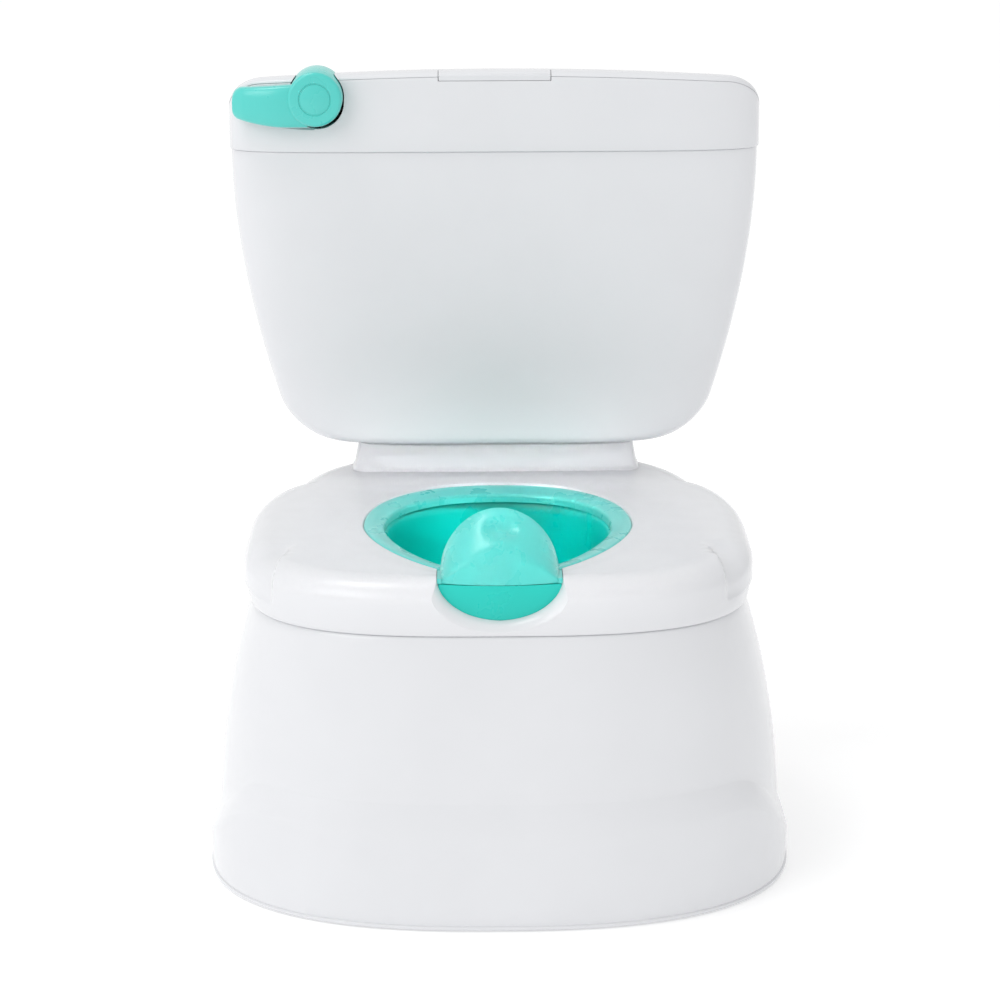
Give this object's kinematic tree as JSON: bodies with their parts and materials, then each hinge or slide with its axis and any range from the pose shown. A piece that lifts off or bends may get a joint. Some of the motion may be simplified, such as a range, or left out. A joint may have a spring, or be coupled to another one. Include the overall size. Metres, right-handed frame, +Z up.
{
  "type": "potty training chair",
  "caption": "Toddler training potty shaped like a small toilet, with lift-out pot, splash guard, hinged storage lid in the tank top and a flush lever that works a sound switch.",
  "frame": {"origin": "centre of the footprint on the floor, under the rubber feet", "axes": "+Z up, -Y towards the child's legs (the splash guard's side), +X to the right seen from the front"},
  "size_m": [0.319, 0.308, 0.4212],
  "materials": {
    "white_plastic": "glossy injection-moulded polypropylene",
    "teal_plastic": "satin moulded polypropylene",
    "light_teal_plastic": "satin moulded polypropylene",
    "grey_plastic": "matt moulded ABS",
    "rubber": "matt",
    "steel": "plated",
    "circuit_board": "solder-masked board",
    "battery_wrap": "plastic sleeve"
  },
  "bodies": {
    "base": {"base_shell": "white_plastic", "rubber_foot_1": "rubber", "rubber_foot_2": "rubber", "rubber_foot_3": "rubber", "rubber_foot_4": "rubber"},
    "upper": {"battery_1": "battery_wrap", "battery_2": "battery_wrap", "battery_contact_left": "steel", "battery_contact_right": "steel", "circuit_board": "circuit_board", "cover_screw_1": "steel", "cover_screw_2": "steel", "cover_screw_3": "steel", "cover_screw_4": "steel", "lever_bracket": "grey_plastic", "lid_hinge_pin_left": "steel", "lid_hinge_pin_right": "steel", "neck": "white_plastic", "neck_screw_1": "steel", "neck_screw_2": "steel", "neck_screw_3": "steel", "neck_screw_4": "steel", "seat": "white_plastic", "sound_module_case": "grey_plastic", "speaker": "grey_plastic", "switch_body": "grey_plastic", "tank_back": "white_plastic", "tank_collar": "white_plastic", "tank_front": "white_plastic", "tank_screw_1": "steel", "tank_screw_2": "steel", "wipes_tray": "white_plastic"},
    "pot": {"pot": "teal_plastic"},
    "guard": {"splash_guard": "light_teal_plastic"},
    "lid": {"wipes_lid": "white_plastic"},
    "lever": {"flush_lever": "light_teal_plastic", "lever_axle": "steel", "lever_cam": "grey_plastic", "lever_spring": "steel"},
    "switch": {"switch_plunger": "grey_plastic"},
    "battery_door": {"battery_door": "white_plastic", "battery_door_screw": "steel"}
  },
  "joints": [
    {"name": "seat_lift", "type": "slide", "parent": "base", "child": "upper", "axis": [0, 0, 1], "range_m": [0, 0.1]},
    {"name": "pot_lift", "type": "slide", "parent": "upper", "child": "pot", "axis": [0, 0, 1], "range_m": [0, 0.13]},
    {"name": "guard_lift", "type": "slide", "parent": "pot", "child": "guard", "axis": [0, 0, 1], "range_m": [0, 0.05]},
    {"name": "lid_hinge", "type": "hinge", "parent": "upper", "child": "lid", "pos_m": [0, 0.147, 0.4044], "axis": [-1, 0, 0], "range_deg": [0, 100]},
    {"name": "lever_pivot", "type": "hinge", "parent": "upper", "child": "lever", "pos_m": [-0.101, 0.056, 0.4061], "axis": [0, -1, 0], "range_deg": [0, 16], "stiffness_Nm_per_rad": 0.15, "springref_deg": -8.59},
    {"name": "switch_press", "type": "slide", "parent": "upper", "child": "switch", "axis": [0, 0, -1], "range_m": [0, 0.0034]},
    {"name": "battery_door_hinge", "type": "hinge", "parent": "upper", "child": "battery_door", "pos_m": [-0.107, 0.1418, 0.3285], "axis": [-1, 0, 0], "range_deg": [0, 95]}
  ],
  "couplings": [
    {"joint": "switch_press", "follows": "lever_pivot", "m_per_rad": 0.012}
  ]
}
